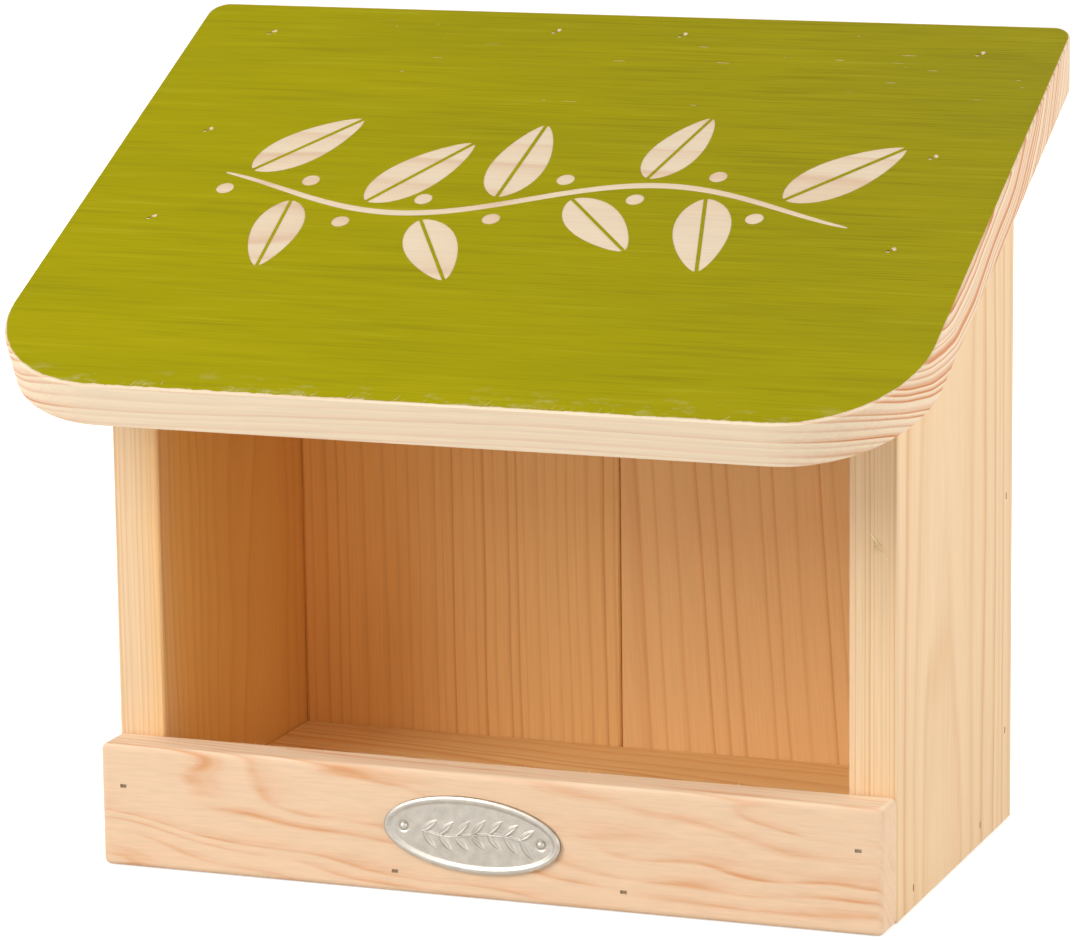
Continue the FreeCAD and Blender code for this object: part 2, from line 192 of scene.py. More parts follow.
def year_rings(tree, radius, ring, late, seed):
    """How far a point is into summer wood, and how strong its year's ring is, both from 0 to 1."""
    years = add(tree, "Math.MULTIPLY_ADD", [radius, 1 / ring, seed])
    luck = add(tree, "TexNoise", {"W": years, "Scale": LUCK_PER_YEAR, "Detail": 1.0},
               noise_dimensions="1D")
    count = add(tree, "Math.MULTIPLY_ADD", [luck.outputs["Fac"], AHEAD, years])
    season = add(tree, "Math.FRACT", [count])
    band = add(tree, "ValToRGB", {"Fac": season})
    ramp = band.color_ramp
    ramp.interpolation = "EASE"
    ramp.elements.remove(ramp.elements[1])
    ramp.elements[0].color = (0.3, 0.3, 0.3, 1)
    for stop, level in ((0.1, 0.05), (1 - 2 * late, 0.08), (1 - late, 0.42), (1 - late / 3, 1.0), (1.0, 0.5)):
        ramp.elements.new(stop).color = (level, level, level, 1)
    year = add(tree, "Math.FLOOR", [count])
    own = add(tree, "TexWhiteNoise", {"W": year}, noise_dimensions="1D")
    own = add(tree, "Math.POWER", [own.outputs["Value"], 1.6])
    spell = add(tree, "TexNoise", {"W": year, "Scale": SPELLS_PER_YEAR, "Detail": 0.0},
                noise_dimensions="1D")
    spell = add(tree, "MapRange", [spell.outputs["Fac"], 0.3, 0.65, 0.25])
    own = add(tree, "Math.MULTIPLY", [own, spell])
    return band.outputs["Color"], own


print("a spell of strong rings lasts about", round(1 / SPELLS_PER_YEAR), "years")

# %% [markdown]
# Where a board is sawn across, its open fibres drink in dirt and light, so the rings show more strongly. On
# some boards they fade and return along the length.

# %% How strongly the rings show
def streaks(tree, board, spacing, detail, roughness=0.5):
    """Noise drawn out along a board; spacing is in mm along, across and through it."""
    spot = add(tree, "VectorMath.MULTIPLY", [board, tuple(1 / mm for mm in spacing)])
    return add(tree, "TexNoise", {
        "Vector": spot, "Scale": 1.0, "Detail": detail, "Roughness": roughness}).outputs["Fac"]


PATCH = (38, 5, 5)


def ring_strength(tree, board, normal, grain, own, contrast, ends, patchy):
    """How strongly a year's ring shows on the face that is cut there."""
    facing = add(tree, "VectorRotate", {"Vector": normal, "Rotation": grain}, rotation_type="EULER_XYZ")
    facing = add(tree, "VectorMath.ABSOLUTE", [facing])
    facing = add(tree, "SeparateXYZ", [facing])
    sawn = add(tree, "Math.MULTIPLY_ADD", [facing.outputs["X"], ends, 1.0])
    strong = add(tree, "MapRange", [own, 0.0, 1.0, 0.25 * contrast, contrast])
    strong = add(tree, "Math.MULTIPLY", [strong, sawn])
    if patchy:
        patch = add(tree, "MapRange", [streaks(tree, board, PATCH, 3.0), 0.35, 0.65, 1 - patchy, 1 + patchy])
        strong = add(tree, "Math.MULTIPLY", [strong, patch])
    return strong


print("patches of figure are about", PATCH[0], "mm long")

# %% [markdown]
# Wood near the heart is deeper and warmer. On the left back board this tint is partly heartwood and partly
# painted shade, where the left side shades the inside of the box; on the left side it is mostly painted
# shade, the warm shade inside the box, with a little heartwood. On the front board every face but the upper
# edge is darkened, a painted highlight on that edge.

# %% Heartwood, painted shade inside the box, and a painted highlight on an upper edge
UPPER, UPRIGHT = 0.9, 0.5  # how far up a face looks: an upper edge, and a face that isn't one


def heart_tint_and_painted_light(tree, tint, radius, normal, heart_and_shade_tint, painted_top_light):
    """Tints heartwood, partly painted shade, and darkens all faces but an upper edge: a painted highlight
    there.
    """
    if heart_and_shade_tint:
        begin, full, heart_and_shade_colour = heart_and_shade_tint
        inside = add(tree, "MapRange", [radius, begin, full], interpolation_type="SMOOTHSTEP")
        tint = add(tree, "Mix", {0: inside, 6: tint, 7: srgb(heart_and_shade_colour)}, data_type="RGBA",
                   blend_type="MULTIPLY").outputs[2]
    # Darkening every face but an upper edge paints a highlight on that edge.
    if painted_top_light:
        facing = add(tree, "SeparateXYZ", [normal])
        painted_side_shade = add(tree, "MapRange", [facing.outputs["Z"], UPPER, UPRIGHT])
        tint = add(tree, "Mix", {0: painted_side_shade, 6: tint, 7: srgb(painted_top_light)}, data_type="RGBA",
                   blend_type="MULTIPLY").outputs[2]
    return tint


print("an upper edge tilts by at most", round(math.degrees(math.acos(UPPER))), "degrees")

# %% Planed pine from these parts
# Real fibres are a few hundredths of a millimetre wide. They are drawn as coarse as they need to be to show.
FIBRE = (28, 0.7, 0.7)
PROUD = 0.05 * MM  # how far summer wood stands out after planing


def planed_pine(name, grain, heart, ring, spring, summer, seed, late=0.3, sway=(5.0, 1.0), contrast=1.0,
                ends=2.2, patchy=0.0, knot=None, heart_and_shade_tint=None, painted_top_light=None):
    """Planed softwood, untreated: matt, warm, with a faint sheen along the fibres.

    grain turns the board so that its length is the first axis; heart is the log's centre there, in mm.
    ring is a year's growth in mm, and late is the share of it that is summer wood.
    sway is how far the rings wander slowly and quickly, in mm.
    ends is how much more strongly the rings show where the board is sawn across.
    patchy is how far the rings fade and return along the board, from 0 to 1.
    knot is a branch's place there, its reach and how far it pushes the rings aside, in mm.
    The heart tint is given as the radius at which it begins, the radius at which it is full, in mm, and its
    colour; on the inner boards it also paints the warm shade inside the box.
    The last argument is the tint of all faces but an upper edge, which paints a highlight on that edge.
    """
    material, tree, surface = new_material(name)
    place = add(tree, "TexCoord")
    normal = place.outputs["Normal"]
    board = add(tree, "Mapping", {
        "Vector": place.outputs["Object"], "Scale": (1 / MM, 1 / MM, 1 / MM), "Rotation": grain})
    radius = heart_distance(tree, board, heart, seed, sway, knot)
    band, own = year_rings(tree, radius, ring, late, seed)
    strong = ring_strength(tree, board, normal, grain, own, contrast, ends, patchy)
    depth = add(tree, "Math.MULTIPLY", [band, strong], use_clamp=True)
    tint = add(tree, "Mix", {0: depth, 6: srgb(spring), 7: srgb(summer)}, data_type="RGBA").outputs[2]
    tint = heart_tint_and_painted_light(tree, tint, radius, normal, heart_and_shade_tint, painted_top_light)
    fibre = streaks(tree, board, FIBRE, 3.0)
    shade = add(tree, "MapRange", [fibre, 0.25, 0.75, 0.94, 1.04])
    tint = add(tree, "VectorMath.SCALE", {0: tint, "Scale": shade})
    tree.links.new(tint.outputs["Vector"], surface["Base Color"])
    relief = add(tree, "Math.MULTIPLY_ADD", [fibre, 0.5, depth])
    bump = add(tree, "Bump", {"Strength": 0.35, "Distance": PROUD, "Height": relief})
    tree.links.new(bump.outputs["Normal"], surface["Normal"])
    surface["Roughness"].default_value = 0.6
    surface["Specular IOR Level"].default_value = 0.3
    return material


print("fibres are drawn", FIBRE[1], "mm apart, and summer wood stands", PROUD / MM, "mm proud")

# %% [markdown]
# Each board gets its own place in the log, so no two show the same figure. The grain of the back and the
# sides is upright, and that of the roof, the floor and the front runs across. The back boards and the floor
# are deeper and more orange than the front: partly their own tone, partly painted shade inside the box.

# %% Each board's cut from its log
SLOPE = math.radians(26)
DOWN_ROOF = (-SLOPE, 0, 0)


def up_board(lean):
    """Upright grain that leans to the left by some degrees."""
    return (0, math.radians(90 + lean), 0)


BOARDS = {
    "roof_board": dict(
        grain=DOWN_ROOF, heart=(74, 320), ring=2.1, late=0.38, spring="#F6E1C3", summer="#D58850", seed=11.0,
        contrast=0.45, ends=4.0, sway=(3.0, 0.4)),
    # left side: its heart tint is mostly painted shade, the warm shade inside the box, with a little
    # heartwood
    "side_left": dict(
        grain=up_board(0), heart=(40, -40), ring=1.5, spring="#EFCEA5", summer="#D29250", seed=23.0,
        contrast=0.8, sway=(2.0, 0.3), heart_and_shade_tint=(176, 158, "#FFE09A")),
    "side_right": dict(
        grain=up_board(0), heart=(20, 200), ring=1.25, spring="#F1D0A6", summer="#D79E62", seed=31.0,
        contrast=0.8, sway=(0.8, 0.12)),
    # left back board: its heart tint is heartwood and painted shade where the left side shades it
    "back_board_left": dict(
        grain=up_board(0.5), heart=(160, 240), ring=3.6, late=0.2, spring="#FDCE8A", summer="#CB7228",
        seed=47.0, contrast=0.7, sway=(2.5, 0.3), heart_and_shade_tint=(240, 120, "#FFE6AE")),
    # right back board: its deep orange colours are partly its own tone, partly painted shade inside the box
    "back_board_right": dict(
        grain=up_board(4.0), heart=(170, 60), ring=5.2, late=0.15, spring="#FFD294", summer="#D67E2E",
        seed=59.0, contrast=0.8, sway=(2.0, 0.3)),
    # floor: its deep orange colours are partly its own tone, partly painted shade inside the box
    "floor_board": dict(
        grain=(0, math.radians(-4), 0), heart=(10, -60), ring=3.4, spring="#FFDA9C", summer="#E49442",
        seed=67.0),
    # front board: its last tint darkens every face but the upper edge, a painted highlight there
    "front_board": dict(
        grain=(0, 0, math.radians(4)), heart=(-1, 46), ring=3.6, spring="#FFE7C8", summer="#EFB787",
        seed=71.0, contrast=1.1, ends=-0.6, sway=(5.0, 2.0), patchy=0.8, knot=((-112, -60, 9), (24, 8), 8.0),
        painted_top_light="#EFE3DB"),
}
for board, cut in BOARDS.items():
    nodes[board].data.materials.clear()
    nodes[board].data.materials.append(planed_pine("planed_pine_" + board, **cut))
print("boards dressed:", ", ".join(BOARDS))

# %% [markdown]
# ## Metals
# The nails are drawn steel wire. Resin from the nail gun's strip leaves their heads a dull brownish grey. On
# the roof their heads are darker: partly paint on them, partly painted shade for the holes they are sunk in.
# The plate and its two pins are cast white metal, grey and soft in its shine, because sand and tumbling leave
# it finely pitted.

# %% Bare, dull metal
PIT_DEPTH = 0.1 * MM


def dull_metal(name, light, dark, rough, grain_mm, dents):
    """Bare metal with cloudy tone and fine pits, grain_mm wide: a broad, broken shine."""
    material, tree, surface = new_material(name)
    place = add(tree, "TexCoord").outputs["Object"]
    pits_per_metre = 1000 / grain_mm
    cloud = add(tree, "TexNoise", {"Vector": place, "Scale": pits_per_metre / 4, "Detail": 4.0})
    tone = add(tree, "Mix", {0: cloud.outputs["Fac"], 6: srgb(dark), 7: srgb(light)},
               data_type="RGBA").outputs[2]
    tree.links.new(tone, surface["Base Color"])
    pits = add(tree, "TexNoise", {"Vector": place, "Scale": pits_per_metre, "Detail": 2.0})
    bump = add(tree, "Bump", {"Strength": dents, "Distance": PIT_DEPTH, "Height": pits.outputs["Fac"]})
    tree.links.new(bump.outputs["Normal"], surface["Normal"])
    surface["Metallic"].default_value = 1.0
    surface["Roughness"].default_value = rough
    return material


print("pits are", PIT_DEPTH / MM, "mm deep")

# %% Steel and cast metal
wire_steel = dull_metal("drawn_steel_wire", "#A18B73", "#66553F", rough=0.5, grain_mm=0.4, dents=0.3)
# roof nails: dark for paint on their heads and for painted shade of the holes they sit in
paint_and_shade_steel = dull_metal(
    "drawn_steel_wire_paint_and_shade", "#4A4220", "#241F0E", rough=0.6, grain_mm=0.4, dents=0.3)
cast_metal = dull_metal("cast_white_metal", "#C6C0B5", "#99938A", rough=0.4, grain_mm=0.7, dents=0.3)
for name, piece in nodes.items():
    if name in BOARDS:
        continue
    piece.data.materials.clear()
    bare = wire_steel if name.endswith("nails") else cast_metal
    piece.data.materials.append(paint_and_shade_steel if name.startswith("roof") else bare)
print("metal pieces dressed:", len(nodes) - len(BOARDS))

# %% [markdown]
# ## Growing pieces with Geometry Nodes
# What repeats or follows a path is grown by a node tree. Its named inputs are the sizes a maker would ask
# for. The second helper runs a tree once and keeps the outcome as a plain mesh, so nothing is left to be
# worked out later.

# %% Helpers for geometry trees
SOCKETS = {
    float: "NodeSocketFloat", int: "NodeSocketInt", tuple: "NodeSocketVector", str: "NodeSocketMaterial"}


def new_tree(name, inputs):
    """An empty geometry tree with named inputs: numbers, vectors (tuple) and materials (str)."""
    tree = bpy.data.node_groups.new(name, "GeometryNodeTree")
    tree.interface.new_socket("Geometry", in_out="INPUT", socket_type="NodeSocketGeometry")
    for label, kind in inputs.items():
        tree.interface.new_socket(label, in_out="INPUT", socket_type=SOCKETS[kind])
    tree.interface.new_socket("Geometry", in_out="OUTPUT", socket_type="NodeSocketGeometry")
    return tree, add(tree, "GroupInput").outputs


def grow(name, tree, start, sizes):
    """Runs a tree on the points in start and returns a plain mesh object at the origin."""
    seed_mesh = bpy.data.meshes.new(name)
    seed_mesh.from_pydata(start, [], [])
    piece = bpy.data.objects.new(name, seed_mesh)
    scene.collection.objects.link(piece)
    step = piece.modifiers.new("grow", "NODES")
    step.node_group = tree
    for item in tree.interface.items_tree:
        if item.in_out == "INPUT" and item.name in sizes:
            step[item.identifier] = sizes[item.name]
    done = piece.evaluated_get(bpy.context.evaluated_depsgraph_get())
    mesh = bpy.data.meshes.new_from_object(done)
    piece.modifiers.remove(step)
    piece.data = mesh
    print(name, "has", len(mesh.polygons), "faces")
    return piece


print("a tree's inputs can be", ", ".join(kind.__name__ for kind in SOCKETS))

# %% [markdown]
# ## The roof's paint
# The roof's upper face carries one brushed coat of olive green. The pale motif isn't painted: a stencil kept
# the wood bare there. So the paint is a thin film of its own with holes in it. It is drawn flat first, so the
# roof's face needs its own flat coordinates, and the nails through the roof are found in them.

# %% Where the roof's face lies
ROOF_WIDTH, ROOF_LENGTH, FRONT_ROUND, REAR_ROUND = 0.287, 0.208, 0.040, 0.006
SIDE_TOP, BOARD_THICKNESS = 0.234, 0.015
WALL_SIDE = cad_box[1][1]
roof_rear_top = SIDE_TOP + BOARD_THICKNESS / math.cos(SLOPE)
up_roof = Vector((0, math.cos(SLOPE), math.sin(SLOPE)))
roof_middle = Vector((0, WALL_SIDE, roof_rear_top)) - up_roof * ROOF_LENGTH / 2
on_roof = Matrix.Translation(roof_middle) @ Matrix.Rotation(SLOPE, 4, "X")
print("middle of the roof's face:", [round(v, 4) for v in roof_middle])

# %% Where the nails go through it
HEAD_DEPTH, HEAD_REACH = 2 * MM, 4 * MM
to_flat = on_roof.inverted()
heads = []
for name in [n for n in nodes if n.startswith("roof_") and n.endswith("nails")]:
    for corner in nodes[name].data.vertices:
        point = to_flat @ corner.co
        if point.z <= -HEAD_DEPTH:
            continue
        head = next((h for h in heads if (h[0] - point).length < HEAD_REACH), None)
        if head is None:
            heads.append([point])
        else:
            head.append(point)
roof_nails = [sum(head, Vector()) / len(head) for head in heads]
print("nails through the roof:", len(roof_nails))

# %% [markdown]
# The motif is a common leafy vine: a waving stem, leaves in two halves on alternate sides, and berries. As in
# any cut stencil, narrow bridges keep every opening apart. The tree grows over the next cells, first the
# film's outline: the roof's own shape, rounded at the front, brushed out to a ragged edge there.

# %% The film's sizes
tree, size = new_tree("stencilled_film", {
    "Width": float, "Length": float, "Front round": float, "Rear round": float, "Side inset": float,
    "Front inset": float, "Rear inset": float, "Ragged": float, "Film": float, "Soaked": float,
    "Stem reach": float, "Stem width": float, "Wave height": float, "Wave length": float, "Leaves": int,
    "Leaf length": float, "Leaf width": float, "Leaf angle": float, "Rib": float, "Bridge": float,
    "Berry": float, "Dent": float, "Chip": float, "Scratches": int, "Seed": int, "Paint": str})
here = add(tree, "InputPosition")
xyz = add(tree, "SeparateXYZ", [here])
print("sizes of the film:", len(size) - 2)

# %% The film's outline
inner_width = add(tree, "Math.MULTIPLY_ADD", [size["Side inset"], -2.0, size["Width"]])
inner_length = add(tree, "Math.SUBTRACT", [size["Length"], size["Front inset"]])
inner_length = add(tree, "Math.SUBTRACT", [inner_length, size["Rear inset"]])
outline = add(tree, "CurvePrimitiveQuadrilateral", {"Width": inner_width, "Height": inner_length})
at_front = add(tree, "Compare.LESS_THAN", [xyz.outputs["Y"], 0.0])
round_here = add(tree, "Switch", [at_front, size["Rear round"], size["Front round"]], input_type="FLOAT")
outline = add(tree, "FilletCurve", {"Curve": outline, "Radius": round_here, "Count": 24}, mode="POLY")
outline = add(tree, "ResampleCurve", {"Curve": outline, "Length": 0.6 * MM}, mode="LENGTH")
print("outline:", len(tree.nodes), "nodes so far")

# %% Its ragged edge
TEETH_PER_METRE = 330.0
RAGGED_BAND = (-100 * MM, -60 * MM)  # from the front edge to where the edge runs nearly straight
rough = add(tree, "TexNoise", {"Vector": here, "Scale": TEETH_PER_METRE, "Detail": 3.0, "Roughness": 0.65})
rough = add(tree, "VectorMath.SUBTRACT", [rough.outputs["Color"], (0.5, 0.5, 0.5)])
more_in_front = add(tree, "MapRange", [xyz.outputs["Y"], *RAGGED_BAND, 1.0, 0.15])
rough = add(tree, "VectorMath.SCALE", {0: rough, "Scale": more_in_front})
rough = add(tree, "VectorMath.SCALE", {0: rough, "Scale": size["Ragged"]})
rough = add(tree, "VectorMath.MULTIPLY", [rough, (1, 1, 0)])
forward = add(tree, "Math.SUBTRACT", [size["Front inset"], size["Rear inset"]])
forward = add(tree, "Math.MULTIPLY", [forward, 0.5])
forward = add(tree, "CombineXYZ", {1: forward})
rough = add(tree, "VectorMath.ADD", [rough, forward])
outline = add(tree, "SetPosition", {"Geometry": outline, "Offset": rough})
print("ragged edge:", len(tree.nodes), "nodes so far")

# %% [markdown]
# The stem is a circle pulled out into a long ribbon that waves and is pointed at both ends. A leaf is made
# from a circle too: one half bulges from the rib, and its mirror image makes the other half.

# %% The stem
turn = add(tree, "Math.DIVIDE", [math.tau, size["Wave length"]])


def stem_swing(tree, size, turn, along):
    """How far the stem has swung aside at a distance along it."""
    wave = add(tree, "Math.MULTIPLY", [along, turn])
    wave = add(tree, "Math.SINE", [wave])
    return add(tree, "Math.MULTIPLY", [wave, size["Wave height"]])


ring = add(tree, "CurvePrimitiveCircle", {"Resolution": 360, "Radius": 1.0})
along = add(tree, "Math.MULTIPLY", [xyz.outputs["X"], size["Stem reach"]])
edge = add(tree, "Math.ABSOLUTE", [xyz.outputs["Y"]])
edge = add(tree, "Math.POWER", [edge, 0.6])
half = add(tree, "Math.SIGN", [xyz.outputs["Y"]])
half = add(tree, "Math.MULTIPLY", [half, size["Stem width"]])
half = add(tree, "Math.MULTIPLY", [half, 0.5])
swing = stem_swing(tree, size, turn, along)
beside = add(tree, "Math.MULTIPLY_ADD", [edge, half, swing])
stem = add(tree, "SetPosition", {"Geometry": ring, "Position": add(tree, "CombineXYZ", [along, beside])})
print("stem:", len(tree.nodes), "nodes so far")

# %% One leaf
ring = add(tree, "CurvePrimitiveCircle", {"Resolution": 36, "Radius": 1.0})
tip = add(tree, "MapRange", [xyz.outputs["X"], -1.0])
tip = add(tree, "Math.MULTIPLY_ADD", [tip, size["Leaf length"], size["Bridge"]])
belly = add(tree, "Math.MAXIMUM", [xyz.outputs["Y"], 0.0])
belly = add(tree, "Math.POWER", [belly, 1.35])
egg = add(tree, "Math.MULTIPLY_ADD", [xyz.outputs["X"], -0.28, 1.0])
belly = add(tree, "Math.MULTIPLY", [belly, egg])
half = add(tree, "Math.MULTIPLY", [size["Leaf width"], 0.5])
rib = add(tree, "Math.MULTIPLY", [size["Rib"], 0.5])
belly = add(tree, "Math.MULTIPLY_ADD", [belly, half, rib])
upper = add(tree, "SetPosition", {"Geometry": ring, "Position": add(tree, "CombineXYZ", [tip, belly])})
lower = add(tree, "Transform", {"Geometry": upper, "Scale": (1, -1, 1)})
leaf = add(tree, "JoinGeometry", {"Geometry": [upper, lower]})
print("leaf:", len(tree.nodes), "nodes so far")

# %% [markdown]
# Leaves and berries stand along the stem and turn with its slope. Leaves take turns on its two sides, and a
# berry sits opposite each.

# %% Where leaves stand on the stem, and how it slopes there
number = add(tree, "InputIndex")
line = add(tree, "MeshLine", {"Count": size["Leaves"]}, mode="END_POINTS", count_mode="TOTAL")
pace = add(tree, "Math.DIVIDE", [number, size["Leaves"]])
pace = add(tree, "MapRange", [pace, 0.0, 1.0, -0.95, 0.95])
spot = add(tree, "Math.MULTIPLY", [pace, size["Stem reach"]])
swing = stem_swing(tree, size, turn, spot)
buds = add(tree, "SetPosition", {"Geometry": line, "Position": add(tree, "CombineXYZ", [spot, swing])})
slant = add(tree, "Math.MULTIPLY", [xyz.outputs["X"], turn])
slant = add(tree, "Math.COSINE", [slant])
slant = add(tree, "Math.MULTIPLY", [slant, size["Wave height"]])
slant = add(tree, "Math.MULTIPLY", [slant, turn])
slant = add(tree, "Math.ARCTANGENT", [slant])
print("buds:", len(tree.nodes), "nodes so far")

# %% Leaves and berries
odd = add(tree, "Math.MODULO", [number, 2.0])
hand = add(tree, "Math.MULTIPLY_ADD", [odd, -2.0, 1.0])
lean = add(tree, "Math.MULTIPLY_ADD", [hand, size["Leaf angle"], slant])
fan = add(tree, "RandomValue", {2: 0.88, 3: 1.1, "Seed": size["Seed"]}, data_type="FLOAT")
leaves = add(tree, "InstanceOnPoints", {
    "Points": buds, "Instance": leaf, "Rotation": add(tree, "CombineXYZ", {2: lean}),
    "Scale": fan.outputs[1]})
berry = add(tree, "CurvePrimitiveCircle", {"Resolution": 22, "Radius": size["Berry"]})
clear = add(tree, "Math.ADD", [size["Berry"], size["Bridge"]])
clear = add(tree, "Math.MULTIPLY", [clear, hand])
clear = add(tree, "Math.MULTIPLY", [clear, -1.0])
beside = add(tree, "VectorRotate", {
    "Vector": add(tree, "CombineXYZ", {1: clear}), "Axis": (0, 0, 1), "Angle": slant},
    rotation_type="AXIS_ANGLE")
opposite = add(tree, "SetPosition", {"Geometry": buds, "Offset": beside})
berries = add(tree, "InstanceOnPoints", {"Points": opposite, "Instance": berry})
print("leaves and berries:", len(tree.nodes), "nodes so far")

# %% [markdown]
# The paint is dented over each nail's head, the blow broke out a chip beside it, and fine scratches run along
# the grain in the rear right part of the roof.

# %% Dents and chips at the nails
dent = add(tree, "CurvePrimitiveCircle", {"Resolution": 10, "Radius": size["Dent"]})
aside = add(tree, "VectorMath.SCALE", {0: (-0.4, -0.35, 0), "Scale": size["Dent"]})
dented = add(tree, "SetPosition", {"Geometry": size["Geometry"], "Offset": aside})
dents = add(tree, "InstanceOnPoints", {"Points": dented, "Instance": dent})
chip = add(tree, "CurvePrimitiveCircle", {"Resolution": 12, "Radius": size["Chip"]})
spiky = add(tree, "RandomValue", {2: 0.6, 3: 1.35, "Seed": 3}, data_type="FLOAT")
spiky = add(tree, "VectorMath.SCALE", {0: here, "Scale": spiky.outputs[1]})
chip = add(tree, "SetPosition", {"Geometry": chip, "Position": spiky})
reach = add(tree, "Math.ADD", [size["Chip"], size["Dent"]])
aside = add(tree, "VectorMath.SCALE", {0: (0.8, 0.75, 0), "Scale": reach})
struck = add(tree, "SetPosition", {"Geometry": size["Geometry"], "Offset": aside})
spin = add(tree, "RandomValue", {0: (0, 0, 0), 1: (0, 0, 6.28), "Seed": 5}, data_type="FLOAT_VECTOR")
chips = add(tree, "InstanceOnPoints", {"Points": struck, "Instance": chip, "Rotation": spin})
print("dents and chips:", len(tree.nodes), "nodes so far")

# %% Scratches
SCRATCHED = Vector((-80, 52, 0)) * MM, Vector((138, 99, 0)) * MM  # corners of that part of the roof
FINEST, LONGEST = (0.4 * MM, 0.06 * MM, 1), (4.5 * MM, 0.2 * MM, 1)
strew = add(tree, "RandomValue", {0: SCRATCHED[0], 1: SCRATCHED[1], "Seed": size["Seed"]},
            data_type="FLOAT_VECTOR")
dust = add(tree, "Points", {"Count": size["Scratches"], "Position": strew})
long = add(tree, "RandomValue", {0: FINEST, 1: LONGEST, "Seed": 8}, data_type="FLOAT_VECTOR")
bare = add(tree, "CurvePrimitiveCircle", {"Resolution": 10, "Radius": 1.0})
bare = add(tree, "InstanceOnPoints", {"Points": dust, "Instance": bare, "Scale": long})
print("scratches:", len(tree.nodes), "nodes so far")

# %% [markdown]
# Everything flat is joined and filled; an outline inside another becomes a hole. Then the film gets its
# thickness, from a little way into the wood, where it soaked in, to its surface, and is laid on the roof.

# %% Fill the film and thicken it
cut = add(tree, "JoinGeometry", {"Geometry": [outline, stem, leaves, berries, dents, chips, bare]})
cut = add(tree, "RealizeInstances", {"Geometry": cut})
sheet = add(tree, "FillCurve", {"Curve": cut}, mode="TRIANGLES")
sunk = add(tree, "Math.MULTIPLY", [size["Soaked"], -1.0])
sheet = add(tree, "Transform", {"Geometry": sheet, "Translation": add(tree, "CombineXYZ", {2: sunk})})
thick = add(tree, "Math.ADD", [size["Film"], size["Soaked"]])
coat = add(tree, "ExtrudeMesh", {
    "Mesh": sheet, "Offset": add(tree, "CombineXYZ", {2: thick}), "Offset Scale": 1.0,
    "Individual": False})
under = add(tree, "FlipFaces", {"Mesh": sheet})
coat = add(tree, "JoinGeometry", {"Geometry": [coat.outputs["Mesh"], under]})
coat = add(tree, "MergeByDistance", {"Geometry": coat, "Distance": 0.01 * MM})
coat = add(tree, "Transform", {"Geometry": coat, "Translation": roof_middle, "Rotation": (SLOPE, 0, 0)})
coat = add(tree, "RealizeInstances", {"Geometry": coat})
coat = add(tree, "SetMaterial", {"Geometry": coat, "Material": size["Paint"]})
add(tree, "GroupOutput", {"Geometry": coat})
stencilled_film = tree
print("the whole film:", len(tree.nodes), "nodes")

# %% [markdown]
# The paint itself is thin, so the planed grain shows through it as hairlines along the board, some darker
# where the brush left more and some paler where it dragged. Towards the rear right corner the tone is
# deepest and the hairlines are strongest. Towards the front edge the brush ran dry, in smudges. The gloss is
# low and breaks up with the grain.

# %% Tone of the paint
FLAT = math.inf  # no change through the thickness of the coat
DRY_BEGINS, DRY_FULL = 11, 3  # mm up from the front edge


def paint_tone(tree, board, drag, hair, full, main, thick, thin):
    """Clouds of thicker and thinner paint, and pale lines where the brush dragged."""
    cloud = streaks(tree, board, (120, 22, FLAT), 2.0)
    coat = add(tree, "MapRange", [cloud, 0.3, 0.7])
    tone = add(tree, "Mix", {0: coat, 6: srgb(thick), 7: srgb(main)}, data_type="RGBA").outputs[2]
    dry = add(tree, "MapRange", [drag, 0.58, 0.82, 0.0, 0.45])
    tone = add(tree, "Mix", {0: dry, 6: tone, 7: srgb(thin)}, data_type="RGBA").outputs[2]
    pale = add(tree, "MapRange", [full, 0.0, 1.0, 0.1, 0.7])
    pale = add(tree, "MapRange", [hair, 0.62, 0.8, 0.0, pale])
    return add(tree, "Mix", {0: pale, 6: tone, 7: srgb(thin)}, data_type="RGBA").outputs[2]


def dry_brush(tree, board, tone, bare, front):
    """Smudges of nearly bare wood along the front edge; front is its place up the roof, in mm."""
    down = add(tree, "SeparateXYZ", [board])
    low = add(tree, "MapRange", [down.outputs["Y"], front + DRY_BEGINS, front + DRY_FULL])
    smudge = streaks(tree, board, (14, 5, FLAT), 4.0, roughness=0.7)
    smudge = add(tree, "MapRange", [smudge, 0.54, 0.76, 0.0, 0.6])
    worn = add(tree, "Math.MULTIPLY", [smudge, low])
    return add(tree, "Mix", {0: worn, 6: tone, 7: srgb(bare)}, data_type="RGBA").outputs[2]


def dark_pores(tree, drag, hair, full):
    """How much light open pores and fibre lines leave, because they hold dark paint."""
    dark = add(tree, "MapRange", [full, 0.0, 1.0, 0.88, 0.7])
    pores = add(tree, "MapRange", [hair, 0.3, 0.46, dark])
    lines = add(tree, "MapRange", [drag, 0.28, 0.46, 0.88])
    shade = add(tree, "Math.MULTIPLY", [pores, lines])
    deep = add(tree, "MapRange", [full, 0.0, 1.0, 1.0, 0.87])
    return add(tree, "Math.MULTIPLY", [shade, deep])


front_line = (Matrix.Rotation(-SLOPE, 3, "X") @ (roof_middle - up_roof * ROOF_LENGTH / 2)).y / MM
print("front edge at", round(front_line, 1), "mm on the axis up the roof")

# %% Olive paint, brushed along the grain
BRUSH_RELIEF = 0.08 * MM
# Distances in mm from the rear right corner: where the paint's darkening towards it ends, and where it is
# full.
CORNER_DARK_ENDS, CORNER_DARK_FULL = 250, 60  # mm from where it started


